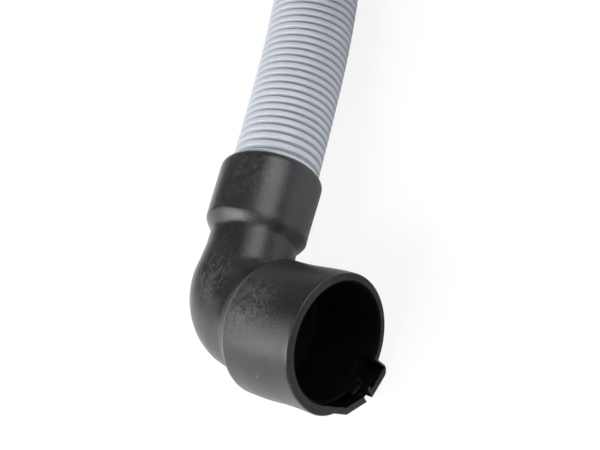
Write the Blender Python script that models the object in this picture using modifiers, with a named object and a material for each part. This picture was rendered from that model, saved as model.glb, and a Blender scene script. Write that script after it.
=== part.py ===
"""Dishwasher drain hose: a rubber elbow with a keyed socket, a hose wound into a coil, an end cuff and ties.

Metres, +Z up. The part lies on the floor, z = 0, under the elbow's middle. The elbow is modelled in a frame
of its own, whose origin is where its two axes meet: X runs out of the socket, and the hose leaves in the XY
plane. That frame is tipped a little about X, because the key stands out below and the hose lies lower.
"""
import math

import bmesh
import bpy
from mathutils import Matrix, Vector

CLEARANCE = 0.0003
OVERLAP = 0.0005
COLLECTION = "dishwasher drain hose"

# Hose: outside diameter, and the hollow that runs through everything
HOSE_D = 0.024
PASSAGE_D = 0.0192

# Elbow: angle between the outlet and the hose, and the bend between them
ELBOW_ANGLE = math.radians(106.0)
ELBOW_TIP = math.radians(7.5)
ELBOW_AT = Vector((-0.00496, -0.01202, 0.02211))

# Socket: from where the axes meet to the mouth, its bore and walls
SOCKET_REACH = 0.0351
SOCKET_BORE_D = 0.0298
SOCKET_WALL = 0.0025
SOCKET_DEPTH = 0.0205
SOCKET_SAG = 0.001
SHOULDER_LENGTH = 0.0042
RIDGE_WALL = 0.0054
RIDGE_FADE = math.radians(22.0)
HEEL_WALL = 0.0033
HEEL_BULGE = 0.0006
CROTCH_GAP = 0.0002

# Collar: where the hose stands in it, and the neck below
COLLAR_SEAT = 0.0257
COLLAR_LENGTH = 0.015
COLLAR_WALL = 0.00165
COLLAR_UNDER = 0.0008
COLLAR_OFFSET = 0.0009
COLLAR_ROUND = 0.0012
NECK_WALL = 0.0022
NECK_LENGTH = 0.0022
NECK_FILLET = 0.0042

# Key on the mouth: two flats, each over a pocket, with a slot between them and a lip towards the bore
KEY_FLATS = ((math.radians(8.4), 0.00445), (math.radians(42.0), 0.0025))
KEY_SIDE = 0.0031
KEY_END = math.radians(40.7)
KEY_FOOT = math.radians(62.0)
KEY_DEPTH = 0.007
KEY_WALL = 0.002
KEY_FLOOR = 0.0017
KEY_SIDE_WALL = 0.0006
KEY_FOOT_LINE = (math.radians(71.8), 0.0005)
KEY_CORNER = 0.0024
KEY_ROUND = 0.0009
LIP_WALL = 0.0009
LIP_DROP = 0.002
LIP_DROP_FROM = math.radians(30.0)
SLOT_ANGLE = math.radians(17.4)
SLOT_WIDTH = 0.0021
SLOT_DEPTH = 0.0023
SLOT_WALL = 0.0009

# Coil: radius at the middle of its turns, layers, and where it starts
COIL_R = 0.123
COIL_LAYERS = 2
COIL_START = Vector((-0.0665, 0.2009))
COIL_ROUND = 0.008
LAYER_GAP = 0.0005

# Ties round the coil
TIE_WIDTH = 0.008
TIE_THICK = 0.0012
TIE_ROUND = 0.009
TIE_TURNS = (60.0, 145.0, 225.0)

# Cuff on the far end: the hose stands in one half, a spigot goes into the other
CUFF_HOSE_DEPTH = 0.02
CUFF_WALL = 0.002
CUFF_STOP = 0.003
CUFF_BORE_D = 0.0206
CUFF_BORE_DEPTH = 0.023
CUFF_BEAD = 0.0012
CUFF_BEAD_LENGTH = 0.004
CUFF_TAPER = 0.004
CUFF_TURN = 16.0

# Route of the hose from the collar to the coil, at the middle of the hose
ROUTE = (
    (-0.0255, 0.0594, 0.0131),
    (-0.0296, 0.0737, 0.0122),
    (-0.0338, 0.0881, 0.0121),
    (-0.0396, 0.1080, 0.0121),
    (-0.0462, 0.1308, 0.0122),
    (-0.0531, 0.1546, 0.0127),
    (-0.0596, 0.1771, 0.0134),
    (-0.0665, 0.2009, 0.0137),
)
ROUTE_STEP = 0.014

HOSE_R = HOSE_D / 2
SOCKET_R = SOCKET_BORE_D / 2 + SOCKET_WALL
COLLAR_BORE_R = HOSE_R + CLEARANCE
COIL_BOTTOM = TIE_THICK + CLEARANCE
COIL_HEIGHT = COIL_LAYERS * HOSE_D + (COIL_LAYERS - 1) * LAYER_GAP
HOSE_DIR = Vector((math.cos(ELBOW_ANGLE), math.sin(ELBOW_ANGLE), 0.0))
HOSE_SIDE = Vector((-HOSE_DIR.y, HOSE_DIR.x, 0.0))
ELBOW_FRAME = Matrix.Translation(ELBOW_AT) @ Matrix.Rotation(-ELBOW_TIP, 4, "X")


def clear_scene():
    for old in list(bpy.data.objects):
        bpy.data.objects.remove(old, do_unlink=True)


def collection(name):
    made = bpy.data.collections.new(name)
    bpy.context.scene.collection.children.link(made)
    return made


def material(name, colour, roughness, metallic=0.0):
    made = bpy.data.materials.new(name)
    made.use_nodes = True
    shader = made.node_tree.nodes["Principled BSDF"]
    shader.inputs["Base Color"].default_value = (*colour, 1.0)
    shader.inputs["Roughness"].default_value = roughness
    shader.inputs["Metallic"].default_value = metallic
    return made


def add(name, data, group, parent=None):
    made = bpy.data.objects.new(name, data)
    group.objects.link(made)
    made.parent = parent
    return made


def as_mesh(made, group):
    """A curve object as a closed mesh object of the same name, place and parent."""
    bpy.context.view_layer.update()
    seen = made.evaluated_get(bpy.context.evaluated_depsgraph_get())
    mesh = bpy.data.meshes.new_from_object(seen)
    work = bmesh.new()
    work.from_mesh(mesh)
    bmesh.ops.remove_doubles(work, verts=work.verts, dist=1e-6)
    bmesh.ops.recalc_face_normals(work, faces=work.faces)
    work.to_mesh(mesh)
    work.free()
    name, parent, place = made.name, made.parent, made.matrix_world.copy()
    bpy.data.objects.remove(made, do_unlink=True)
    solid = add(name, mesh, group, parent)
    solid.matrix_world = place
    return solid


def swept(name, stations, group, parent=None, resolution=16):
    """A round body along (point, radius) stations, with flat ends."""
    curve = bpy.data.curves.new(name, "CURVE")
    curve.dimensions = "3D"
    curve.bevel_depth = 0.001
    curve.bevel_resolution = resolution
    curve.use_fill_caps = True
    spline = curve.splines.new("POLY")
    spline.points.add(len(stations) - 1)
    for target, (point, radius) in zip(spline.points, stations):
        target.co = (*point, 1.0)
        target.radius = radius / curve.bevel_depth
    return as_mesh(add(name, curve, group, parent), group)


def loft(name, rings, group, parent=None, sides=48):
    """A closed skin through oval sections, each (middle, direction across, half width, half height)."""
    work = bmesh.new()
    up = Vector((0.0, 0.0, 1.0))
    turns = [2 * math.pi * k / sides for k in range(sides)]
    loops = [
        [work.verts.new(middle + across * width * math.cos(t) + up * height * math.sin(t)) for t in turns]
        for middle, across, width, height in rings
    ]
    for first, second in zip(loops, loops[1:]):
        for k in range(sides):
            work.faces.new((first[k - 1], first[k], second[k], second[k - 1]))
    work.faces.new(loops[0])
    work.faces.new(loops[-1])
    bmesh.ops.recalc_face_normals(work, faces=work.faces)
    mesh = bpy.data.meshes.new(name)
    work.to_mesh(mesh)
    work.free()
    return add(name, mesh, group, parent)


def plate(name, outlines, thickness, group, parent=None):
    """A flat plate from closed outlines in its own XY plane, centred on z = 0; inner outlines are holes."""
    curve = bpy.data.curves.new(name, "CURVE")
    curve.dimensions = "2D"
    curve.fill_mode = "BOTH"
    curve.extrude = thickness / 2
    for outline in outlines:
        spline = curve.splines.new("POLY")
        spline.points.add(len(outline) - 1)
        for target, (x, y) in zip(spline.points, outline):
            target.co = (x, y, 0.0, 1.0)
        spline.use_cyclic_u = True
    return as_mesh(add(name, curve, group, parent), group)


def turned(name, profile, group, parent=None, steps=64):
    """A ring or sleeve from a closed (radius, height) profile, turned about its own Z."""
    mesh = bpy.data.meshes.new(name)
    count = len(profile)
    mesh.from_pydata(
        [(radius, 0.0, height) for radius, height in profile],
        [(k, (k + 1) % count) for k in range(count)],
        [],
    )
    made = add(name, mesh, group, parent)
    screw = made.modifiers.new("turn", "SCREW")
    screw.angle = 2 * math.pi
    screw.steps = steps
    screw.render_steps = steps
    screw.use_merge_vertices = True
    screw.merge_threshold = 0.00001
    screw.use_normal_calculate = True
    return made


def boolean(target, cutter, operation):
    cutter.hide_render = True
    cutter.display_type = "WIRE"
    step = target.modifiers.new(cutter.name, "BOOLEAN")
    step.operation = operation
    step.solver = "EXACT"
    step.object = cutter


def polar(radius, angle):
    return Vector((radius * math.cos(angle), radius * math.sin(angle)))


def crossing(first, second):
    """Where two lines meet, each given as (angle of its normal, distance from the centre)."""
    (a, p), (b, q) = first, second
    spread = math.sin(b - a)
    return Vector(((p * math.sin(b) - q * math.sin(a)) / spread, (q * math.cos(a) - p * math.cos(b)) / spread))


def fillet(before, corner, after, radius, steps):
    """Points of an arc that rounds one corner of an outline, no larger than its sides allow."""
    to_before, to_after = before - corner, after - corner
    half = to_before.angle(to_after) / 2
    back = min(radius / math.tan(half), 0.4 * to_before.length, 0.4 * to_after.length)
    start = corner + to_before.normalized() * back
    centre = corner + (to_before.normalized() + to_after.normalized()).normalized() * (back / math.cos(half))
    arm = start - centre
    sweep = arm.angle_signed(corner + to_after.normalized() * back - centre)
    return [centre + Matrix.Rotation(-sweep * step / steps, 2) @ arm for step in range(steps + 1)]


def rounded(corners, radius, steps=4):
    """A closed outline with all its corners rounded."""
    outline = []
    for k, corner in enumerate(corners):
        outline += fillet(corners[k - 1], corner, corners[(k + 1) % len(corners)], radius, steps)
    return outline


def crotch():
    """The inner corner between socket and neck: the point about which the bend's sections fan out."""
    x = SOCKET_REACH - SOCKET_DEPTH - SHOULDER_LENGTH
    return Vector((x, PASSAGE_D / 2 + RIDGE_WALL - SOCKET_SAG + CROTCH_GAP, 0.0))


def outlet_ring(x, radius):
    """A round section across the outlet; its middle sags a little towards the back of the socket."""
    rise = min(max((x - SOCKET_REACH + 0.017) / 0.016, 0.0), 1.0)
    middle = Vector((x, -SOCKET_SAG * (1 - rise * rise * (3 - 2 * rise)), 0.0))
    return middle, Vector((0.0, -1.0, 0.0)), radius, radius


def collar_ring(distance, radius):
    """A round section across the neck or the collar."""
    return HOSE_DIR * distance + HOSE_SIDE * COLLAR_OFFSET, HOSE_SIDE, radius, radius


def bend_ring(share, near, far, half_height):
    """A section of the bend, in a plane through the crotch, from near to far of it."""
    angle = (math.pi - ELBOW_ANGLE) * share
    out = Vector((-math.sin(angle), -math.cos(angle), 0.0))
    return crotch() + out * (near + far) / 2, out, (far - near) / 2, half_height


def ease(share):
    return share * share * (3 - 2 * share)


def elbow_outside():
    """Sections of the elbow's outer skin, from the mouth to the collar's top."""
    ridge_x = crotch().x
    ridge = PASSAGE_D / 2 + RIDGE_WALL
    neck_r = PASSAGE_D / 2 + NECK_WALL
    heel = PASSAGE_D / 2 + HEEL_WALL
    collar_r = COLLAR_BORE_R + COLLAR_WALL
    top = COLLAR_SEAT + COLLAR_LENGTH
    rings = [outlet_ring(SOCKET_REACH - SOCKET_DEPTH * k / 4, SOCKET_R) for k in range(5)]
    for share in (0.75, 0.5, 0.25, 0.1):
        radius = ridge + (SOCKET_R - ridge) * math.sin(share * math.pi / 2)
        rings.append(outlet_ring(ridge_x + share * SHOULDER_LENGTH, radius))
    bend_end = crotch().dot(HOSE_DIR)
    neck_gap = COLLAR_OFFSET - crotch().dot(HOSE_SIDE) - heel
    for k in range(13):
        share = k / 12
        fade = max(0.0, 1 - (math.pi - ELBOW_ANGLE) * share / RIDGE_FADE) ** 2
        near = CROTCH_GAP + (neck_gap - CROTCH_GAP) * share
        far = near + 2 * (heel + (ridge - heel) * (0.75 * (1 - share) + 0.25 * fade))
        far += HEEL_BULGE * math.sin(math.pi * share)
        rings.append(bend_ring(share, near, far, heel + (ridge - heel) * fade))
    neck_end = COLLAR_SEAT - COLLAR_UNDER - NECK_FILLET
    neck_start = neck_end - NECK_LENGTH
    for share in (0.33, 0.67, 1.0):
        rings.append(collar_ring(bend_end + (neck_start - bend_end) * share, heel + (neck_r - heel) * ease(share)))
    for k in range(7):
        share = k / 6
        rings.append(collar_ring(neck_end + NECK_FILLET * share, neck_r + (collar_r - neck_r) * ease(share)))
    for degrees in (0.0, 30.0, 60.0, 90.0):
        a = math.radians(degrees)
        rings.append(collar_ring(top - COLLAR_ROUND * (1 - math.sin(a)), collar_r - COLLAR_ROUND * (1 - math.cos(a))))
    return rings


def elbow_inside():
    """Sections of the hollow, from just outside the mouth to just past the hose's seat."""
    bore, passage = SOCKET_BORE_D / 2, PASSAGE_D / 2
    rings = [outlet_ring(SOCKET_REACH + 0.002, bore)]
    rings += [outlet_ring(SOCKET_REACH - SOCKET_DEPTH * k / 2, bore) for k in range(3)]
    middle = crotch().y + SOCKET_SAG
    neck_middle = COLLAR_OFFSET - crotch().dot(HOSE_SIDE)
    for k in range(9):
        share = k / 8
        at = middle + (neck_middle - middle) * share
        rings.append(bend_ring(share, at - passage, at + passage, passage))
    rings.append(collar_ring(COLLAR_SEAT + OVERLAP, passage))
    return rings


def key_flats(wall=0.0):
    """The key's two flats, or the pockets' behind a wall, as lines (angle of the normal, distance from the axis)."""
    return [(angle, SOCKET_R + rise - wall) for angle, rise in KEY_FLATS]


def arc(radius, start, end, steps):
    return [polar(radius, start + (end - start) * k / steps) for k in range(steps + 1)]


def place_on_mouth(made, depth, past=0.0):
    """Outlines are drawn with x towards the floor and y away from the hose: turn them onto the mouth's plane."""
    toward_floor, away, along = Vector((0, 0, -1)), Vector((0, -1, 0)), Vector((-1, 0, 0))
    turn = Matrix((toward_floor, away, along)).transposed().to_4x4()
    made.matrix_local = Matrix.Translation((SOCKET_REACH - (depth - past) / 2, 0.0, 0.0)) @ turn
    return made


def key_block(group, frame):
    """The solid that stands out of the mouth's rim, before its pockets and slot are cut."""
    inner = SOCKET_R - SOCKET_WALL / 2
    flat_1, flat_2 = key_flats()
    corner, middle = crossing((-math.pi / 2, KEY_SIDE), flat_1), crossing(flat_1, flat_2)
    end = polar(flat_2[1] / math.cos(KEY_END - flat_2[0]), KEY_END)
    foot = polar(SOCKET_R - 0.0001, KEY_FOOT)
    inside = arc(inner, KEY_FOOT, math.asin(-KEY_SIDE / inner), 6)
    outline = fillet(inside[-1], corner, middle, KEY_CORNER, 5) + [middle] + fillet(middle, end, foot, KEY_ROUND, 3)
    return place_on_mouth(plate("key_block", [outline + [foot] + inside], KEY_DEPTH, group, frame), KEY_DEPTH)


def key_hollows(group, frame):
    """What is cut from the key: a pocket open to the bore, one behind a lip, the lip's low part, and the slot."""
    lip, inside = SOCKET_BORE_D / 2 + LIP_WALL, SOCKET_BORE_D / 2 - 2 * OVERLAP
    flat_1, flat_2 = key_flats(KEY_WALL)
    along, across = polar(1.0, SLOT_ANGLE), polar(1.0, SLOT_ANGLE + math.pi / 2)
    half, step = SLOT_WIDTH / 2, OVERLAP / 5
    side, wall_side = KEY_SIDE - KEY_SIDE_WALL, -SLOT_WIDTH / 2 - SLOT_WALL
    open_pocket = [
        Vector((inside, -side)),
        crossing((-math.pi / 2, side), flat_1),
        crossing(flat_1, (SLOT_ANGLE + math.pi / 2, wall_side)),
        along * inside + across * wall_side,
    ]
    foot_angle, foot_reach = KEY_FOOT_LINE[0], SOCKET_BORE_D / 2 + KEY_FOOT_LINE[1]
    foot_line = (foot_angle, foot_reach - step)
    foot_end = foot_angle - math.acos(foot_line[1] / lip)
    slot_side = (SLOT_ANGLE + math.pi / 2, step - half)
    closed_pocket = [crossing(slot_side, flat_1), crossing(flat_1, flat_2), crossing(flat_2, foot_line)]
    closed_pocket += arc(lip, foot_end, SLOT_ANGLE - math.asin((half - step) / lip), 6)
    past_lip = lip + 2 * OVERLAP
    past_end = foot_angle - math.acos(foot_reach / past_lip)
    low_lip = arc(lip + OVERLAP, LIP_DROP_FROM, past_end - 0.05, 3) + [polar(past_lip, past_end)]
    low_lip += [polar(foot_reach, foot_angle)] + arc(inside, foot_angle, LIP_DROP_FROM, 5)
    near, far = lip + OVERLAP, SOCKET_R + KEY_FLATS[0][1] + 0.003
    slot = [along * u + across * v for u, v in ((near, -half), (far, -half), (far, half), (near, half))]
    cuts = (
        ("open_pocket", open_pocket, KEY_DEPTH - KEY_FLOOR),
        ("closed_pocket", closed_pocket, KEY_DEPTH - KEY_FLOOR),
        ("low_lip", low_lip, LIP_DROP),
        ("key_slot", slot, SLOT_DEPTH),
    )
    return [
        place_on_mouth(plate(name, [outline], depth + OVERLAP, group, frame), depth, OVERLAP)
        for name, outline, depth in cuts
    ]


def hose_bore(group, frame):
    """The straight bore in the collar that the hose stands in."""
    length = COLLAR_LENGTH + 0.002
    bpy.ops.mesh.primitive_cylinder_add(vertices=48, radius=COLLAR_BORE_R, depth=length)
    bore = bpy.context.object
    bore.name = "hose_bore"
    for holder in list(bore.users_collection):
        holder.objects.unlink(bore)
    group.objects.link(bore)
    bore.parent = frame
    middle = HOSE_DIR * (COLLAR_SEAT + length / 2)
    bore.matrix_local = Matrix.Translation(middle) @ HOSE_DIR.to_track_quat("Z", "X").to_matrix().to_4x4()
    return bore


def rubber_elbow(group, cutters):
    frame = add("elbow_frame", None, group)
    frame.matrix_world = ELBOW_FRAME
    bpy.context.view_layer.update()
    elbow = loft("rubber_elbow", elbow_outside(), group, frame)
    hollow = loft("elbow_hollow", elbow_inside(), cutters, frame)
    boolean(elbow, key_block(cutters, frame), "UNION")
    boolean(elbow, hollow, "DIFFERENCE")
    boolean(elbow, hose_bore(cutters, frame), "DIFFERENCE")
    for hollow in key_hollows(cutters, frame):
        boolean(elbow, hollow, "DIFFERENCE")
    elbow.data.materials.append(material("black rubber", (0.017, 0.017, 0.018), 0.42))
    return elbow


def smooth_line(points, step):
    """Points about a step apart on a smooth curve through the given ones."""
    points = [Vector(p) for p in points]
    padded = [2 * points[0] - points[1]] + points + [2 * points[-1] - points[-2]]
    line = []
    for a, b, c, d in zip(padded, padded[1:], padded[2:], padded[3:]):
        parts = max(1, round((c - b).length / step))
        for k in range(parts):
            t = k / parts
            line.append(
                0.5 * (2 * b + (c - a) * t + (2 * a - 5 * b + 4 * c - d) * t ** 2 + (3 * b - a - 3 * c + d) * t ** 3)
            )
    return line + [points[-1]]


def hose_route():
    """The hose's middle line from its seat in the collar to where the coil begins."""
    seat = COLLAR_SEAT + CLEARANCE
    lead = [ELBOW_FRAME @ (HOSE_DIR * (seat + k * COLLAR_LENGTH)) for k in range(3)]
    return smooth_line(lead + list(ROUTE), ROUTE_STEP)


def coil_centre():
    """The coil lies to the right of the hose as it comes in."""
    return COIL_START - polar(COIL_R, ELBOW_ANGLE + math.pi / 2)


def on_coil(degrees):
    """A place on the coil, so many degrees past its start as the hose runs, and its angle about the centre."""
    angle = ELBOW_ANGLE + math.pi / 2 - math.radians(degrees)
    return coil_centre() + polar(COIL_R, angle), angle


def ring_profile(grow=0.0):
    low, high = COIL_BOTTOM - grow, COIL_BOTTOM + COIL_HEIGHT + grow
    near, far = COIL_R - HOSE_R - grow, COIL_R + HOSE_R + grow
    corners = [Vector((far, high)), Vector((far, low)), Vector((near, low)), Vector((near, high))]
    return rounded(corners, COIL_ROUND, 3)


def hose_coil(group, cutters):
    coil = turned("hose_coil", ring_profile(), group)
    coil.location = (*coil_centre(), 0.0)
    around = turned("coil_clearance", ring_profile(CLEARANCE), cutters)
    around.location = coil.location
    coil.data.materials.append(material("coil grey plastic", (0.52, 0.54, 0.58), 0.45))
    return coil, around


def hose_run(group, around):
    run = swept("hose_run", [(point, HOSE_R) for point in hose_route()], group, resolution=4)
    boolean(run, around, "DIFFERENCE")
    run.data.materials.append(material("hose grey plastic", (0.52, 0.54, 0.58), 0.45))
    return run


def coil_ties(group):
    """Straps round the coil's bundle of turns, closed under it."""
    inner_w, inner_h = HOSE_D + 2 * CLEARANCE, COIL_HEIGHT + 2 * CLEARANCE
    grey = material("tie plastic", (0.03, 0.03, 0.032), 0.5)

    def loop(w, h, radius):
        x, y = w / 2, h / 2
        return rounded([Vector((x, y)), Vector((-x, y)), Vector((-x, -y)), Vector((x, -y))], radius, 4)

    for number, degrees in enumerate(TIE_TURNS, 1):
        loops = [
            loop(inner_w + 2 * TIE_THICK, inner_h + 2 * TIE_THICK, TIE_ROUND + TIE_THICK),
            loop(inner_w, inner_h, min(TIE_ROUND, COIL_ROUND)),
        ]
        tie = plate(f"coil_tie_{number}", loops, TIE_WIDTH, group)
        place, angle = on_coil(degrees)
        tie.matrix_world = (
            Matrix.Translation((*place, TIE_THICK + inner_h / 2))
            @ Matrix.Rotation(angle, 4, "Z")
            @ Matrix.Rotation(math.pi / 2, 4, "X")
        )
        tie.data.materials.append(grey)


def cuff_profile():
    """The cuff's section, from the hose's end to the mouth: bores inside, sleeves and a bead outside."""
    hose_bore_r, bore_r, passage = HOSE_R + CLEARANCE, CUFF_BORE_D / 2, PASSAGE_D / 2
    hose_out, out = hose_bore_r + CUFF_WALL, bore_r + CUFF_WALL
    length = CUFF_HOSE_DEPTH + CUFF_STOP + CUFF_BORE_DEPTH
    return [
        Vector((hose_out - 0.0008, 0.0)),
        Vector((hose_bore_r, 0.0)),
        Vector((hose_bore_r, CUFF_HOSE_DEPTH)),
        Vector((passage, CUFF_HOSE_DEPTH)),
        Vector((passage, CUFF_HOSE_DEPTH + CUFF_STOP)),
        Vector((bore_r, CUFF_HOSE_DEPTH + CUFF_STOP)),
        Vector((bore_r, length)),
        Vector((out + CUFF_BEAD - 0.0006, length)),
        Vector((out + CUFF_BEAD, length - 0.0006)),
        Vector((out + CUFF_BEAD, length - CUFF_BEAD_LENGTH)),
        Vector((out, length - CUFF_BEAD_LENGTH - CUFF_BEAD)),
        Vector((out, CUFF_HOSE_DEPTH + CUFF_TAPER)),
        Vector((hose_out, CUFF_HOSE_DEPTH)),
        Vector((hose_out, 0.0008)),
    ][::-1]


def end_cuff(group):
    """The cuff lies on the coil's top, along the last turn."""
    cuff = turned("end_cuff", cuff_profile(), group, steps=48)
    place, angle = on_coil(CUFF_TURN)
    along = Vector((math.sin(angle), -math.cos(angle), 0.0))
    height = COIL_BOTTOM + COIL_HEIGHT + CLEARANCE + HOSE_R + CLEARANCE + CUFF_WALL
    turn = along.to_track_quat("Z", "X").to_matrix().to_4x4()
    cuff.matrix_world = Matrix.Translation((*place, height)) @ turn
    cuff.data.materials.append(material("cuff rubber", (0.017, 0.017, 0.018), 0.45))
    return cuff


def shade_round():
    for made in bpy.data.collections[COLLECTION].objects:
        if made.type == "MESH":
            made.data.shade_smooth()
            made.data.set_sharp_from_angle(angle=math.radians(35))


def main():
    clear_scene()
    parts = collection(COLLECTION)
    cutters = collection("cutters")
    rubber_elbow(parts, cutters)
    _, around = hose_coil(parts, cutters)
    hose_run(parts, around)
    coil_ties(parts)
    end_cuff(parts)
    shade_round()


main()
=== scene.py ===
"""Looks of a dishwasher drain hose: ringed hose, rubber elbow with a keyed socket, cuff and coil ties."""
import math

import bmesh
import bpy
from mathutils import Matrix, Vector


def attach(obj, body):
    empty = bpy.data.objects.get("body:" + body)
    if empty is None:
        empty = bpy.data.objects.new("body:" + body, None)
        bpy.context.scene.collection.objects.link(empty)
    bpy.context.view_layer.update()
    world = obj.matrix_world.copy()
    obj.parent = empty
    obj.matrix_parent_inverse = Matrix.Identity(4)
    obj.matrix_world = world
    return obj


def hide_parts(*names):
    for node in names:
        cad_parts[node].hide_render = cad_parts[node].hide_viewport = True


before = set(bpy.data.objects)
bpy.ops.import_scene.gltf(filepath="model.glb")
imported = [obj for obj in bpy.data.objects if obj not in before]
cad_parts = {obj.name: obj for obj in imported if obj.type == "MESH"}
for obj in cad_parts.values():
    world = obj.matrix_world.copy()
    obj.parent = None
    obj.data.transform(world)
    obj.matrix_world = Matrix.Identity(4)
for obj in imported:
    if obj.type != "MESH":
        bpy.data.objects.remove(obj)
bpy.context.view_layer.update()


# How the part lies, and the camera that looks down on it.
# The elbow has a frame of its own: X runs out of its socket, and the hose leaves in its XY plane.
# That frame is tipped a little, because the key under the mouth stands on the floor.
ELBOW_ANGLE = math.radians(106.0)
ELBOW_FRAME = Matrix.Translation((-0.00496, -0.01202, 0.02211)) @ Matrix.Rotation(math.radians(-7.5), 4, "X")
HOSE_DIR = Vector((math.cos(ELBOW_ANGLE), math.sin(ELBOW_ANGLE), 0.0))
HOSE_SIDE = Vector((-HOSE_DIR.y, HOSE_DIR.x, 0.0))

EYE = Vector((0.23370168, -0.05315319, 0.23641095))
EYE_VIEW = Vector((-0.67396808, 0.23671601, -0.69980895))
EYE_UP = Vector((-0.17879089, 0.86685017, 0.46540798))
eye_data = bpy.data.cameras.new("camera")
eye_data.sensor_width = 36.0
eye_data.lens = 78.0
eye_data.clip_start = 0.01
eye_data.clip_end = 20.0
camera = bpy.data.objects.new("camera", eye_data)
bpy.context.scene.collection.objects.link(camera)
eye_turn = Matrix((EYE_VIEW.cross(EYE_UP), EYE_UP, -EYE_VIEW)).transposed().to_4x4()
camera.matrix_world = ELBOW_FRAME @ Matrix.Translation(EYE) @ eye_turn
bpy.context.scene.camera = camera


# Corrugated hose: light grey plastic, blown into close round rings, in one length from the elbow to the cuff.
# It stands in the elbow's collar, lies on the floor, and is wound twice round and a little more.
HOSE_D = 0.024
HOSE_GROOVE_R = 0.01055
HOSE_BORE_R = 0.0098
HOSE_SEAT = 0.026
# Points of its middle line on the floor, between the collar and the coil.
HOSE_ROUTE = (
    (-0.0255, 0.0594, 0.0131),
    (-0.0296, 0.0737, 0.0122),
    (-0.0338, 0.0881, 0.0121),
    (-0.0396, 0.1080, 0.0121),
    (-0.0462, 0.1308, 0.0122),
    (-0.0531, 0.1546, 0.0127),
    (-0.0596, 0.1771, 0.0134),
    (-0.0665, 0.2009, 0.0137),
)
# The coil starts where that route ends. Between two ramps, in degrees past its start, it stays level.
COIL_R = 0.123
COIL_START = Vector((-0.0665, 0.2009))
COIL_LEVELS = (0.0135, 0.038, 0.0646)
COIL_RAMPS = ((235.0, 350.0), (595.0, 715.0))
COIL_END = 736.0
CUFF_HOSE_DEPTH = 0.0197
# The rings have one pitch, and the first ones out of the collar stand a little wider apart.
RING_PITCH = 0.002215
RING_FIRST = 0.00066
RING_STRETCH = (0.000285, 0.000335, 0.000275, 0.000205, 0.00002)
# Places in a ring that have a section of their own, and how finely each stretch is made.
RING_FINE = (0.0, 0.1, 0.17, 0.24, 0.36, 0.5, 0.64, 0.76, 0.83, 0.9)
RING_COARSE = (0.0, 0.2, 0.5, 0.8)
RING_EARLY = 0.001
RING_LAST = 0.003
HOSE_SIDES = (60, 20)
HOSE_MOUTHS = (0.012, 0.018)
FINE_LENGTH = 0.112
COLLAR_TOP = 0.0147


def smooth_line(points, step):
    """Points about a step apart on a smooth curve through the given ones."""
    points = [Vector(p) for p in points]
    padded = [2 * points[0] - points[1]] + points + [2 * points[-1] - points[-2]]
    line = []
    for a, b, c, d in zip(padded, padded[1:], padded[2:], padded[3:]):
        parts = max(1, round((c - b).length / step))
        for k in range(parts):
            t = k / parts
            second = (2 * a - 5 * b + 4 * c - d) * t ** 2
            third = (3 * b - a - 3 * c + d) * t ** 3
            line.append(0.5 * (2 * b + (c - a) * t + second + third))
    return line + [points[-1]]


def ease(share):
    """A share from 0 to 1 that starts and ends gently."""
    share = min(max(share, 0.0), 1.0)
    return share * share * (3 - 2 * share)


def on_coil(degrees):
    """A point of the hose's middle line in the coil, so many degrees past its start."""
    first = ELBOW_ANGLE + math.pi / 2
    centre = COIL_START - Vector((math.cos(first), math.sin(first))) * COIL_R
    angle = first - math.radians(degrees)
    height = COIL_LEVELS[0]
    for (start, end), low, high in zip(COIL_RAMPS, COIL_LEVELS, COIL_LEVELS[1:]):
        height += (high - low) * ease((degrees - start) / (end - start))
    return Vector((centre.x + COIL_R * math.cos(angle), centre.y + COIL_R * math.sin(angle), height))


def coil_exit():
    """Where the hose leaves the coil, and its level direction there."""
    end, before = on_coil(COIL_END), on_coil(COIL_END - 0.1)
    return end, Vector((end.x - before.x, end.y - before.y, 0.0)).normalized()


def hose_line():
    """The hose's middle line: straight out of the collar, along the floor, round the coil, into the cuff."""
    lead = [ELBOW_FRAME @ (HOSE_DIR * (HOSE_SEAT + past)) for past in (0.0, 0.015, 0.03)]
    line = smooth_line(lead + list(HOSE_ROUTE), 0.001)
    line += [on_coil(0.5 * k) for k in range(1, int(2 * COIL_END) + 1)]
    end, along = coil_exit()
    return line + [end + along * (CUFF_HOSE_DEPTH * k / 20) for k in range(1, 21)]


def measured(line):
    """The distance of each point of a line from its start."""
    lengths = [0.0]
    for a, b in zip(line, line[1:]):
        lengths.append(lengths[-1] + (b - a).length)
    return lengths


def hose_stations(line):
    """Stations as (distance from the start, place in the ring): 0 in a groove's middle, 0.5 on a crest."""
    total = measured(line)[-1]
    fine, coarse = [(0.0, 0.5)], []
    groove = RING_FIRST
    while groove < total - RING_LAST:
        past = groove - COLLAR_TOP
        pitch = RING_PITCH
        if past > -RING_EARLY:
            index = int((past + RING_EARLY) / RING_PITCH)
            pitch += RING_STRETCH[index] if index < len(RING_STRETCH) else 0.0
        here, shares = (fine, RING_FINE) if groove < FINE_LENGTH else (coarse, RING_COARSE)
        if here is coarse and not coarse:
            fine.append((groove, 0.0))
            shares = shares[1:]
        here.extend((groove + share * pitch, share) for share in shares)
        groove += pitch
    coarse.append((total, 0.5))
    return fine, coarse


def placed(line, lengths, stations):
    """The points of a line at the stations' distances."""
    points, k = [], 0
    for distance, _ in stations:
        while k < len(lengths) - 2 and lengths[k + 1] < distance:
            k += 1
        share = (distance - lengths[k]) / (lengths[k + 1] - lengths[k])
        points.append(line[k].lerp(line[k + 1], min(share, 1.0)))
    return points


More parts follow.
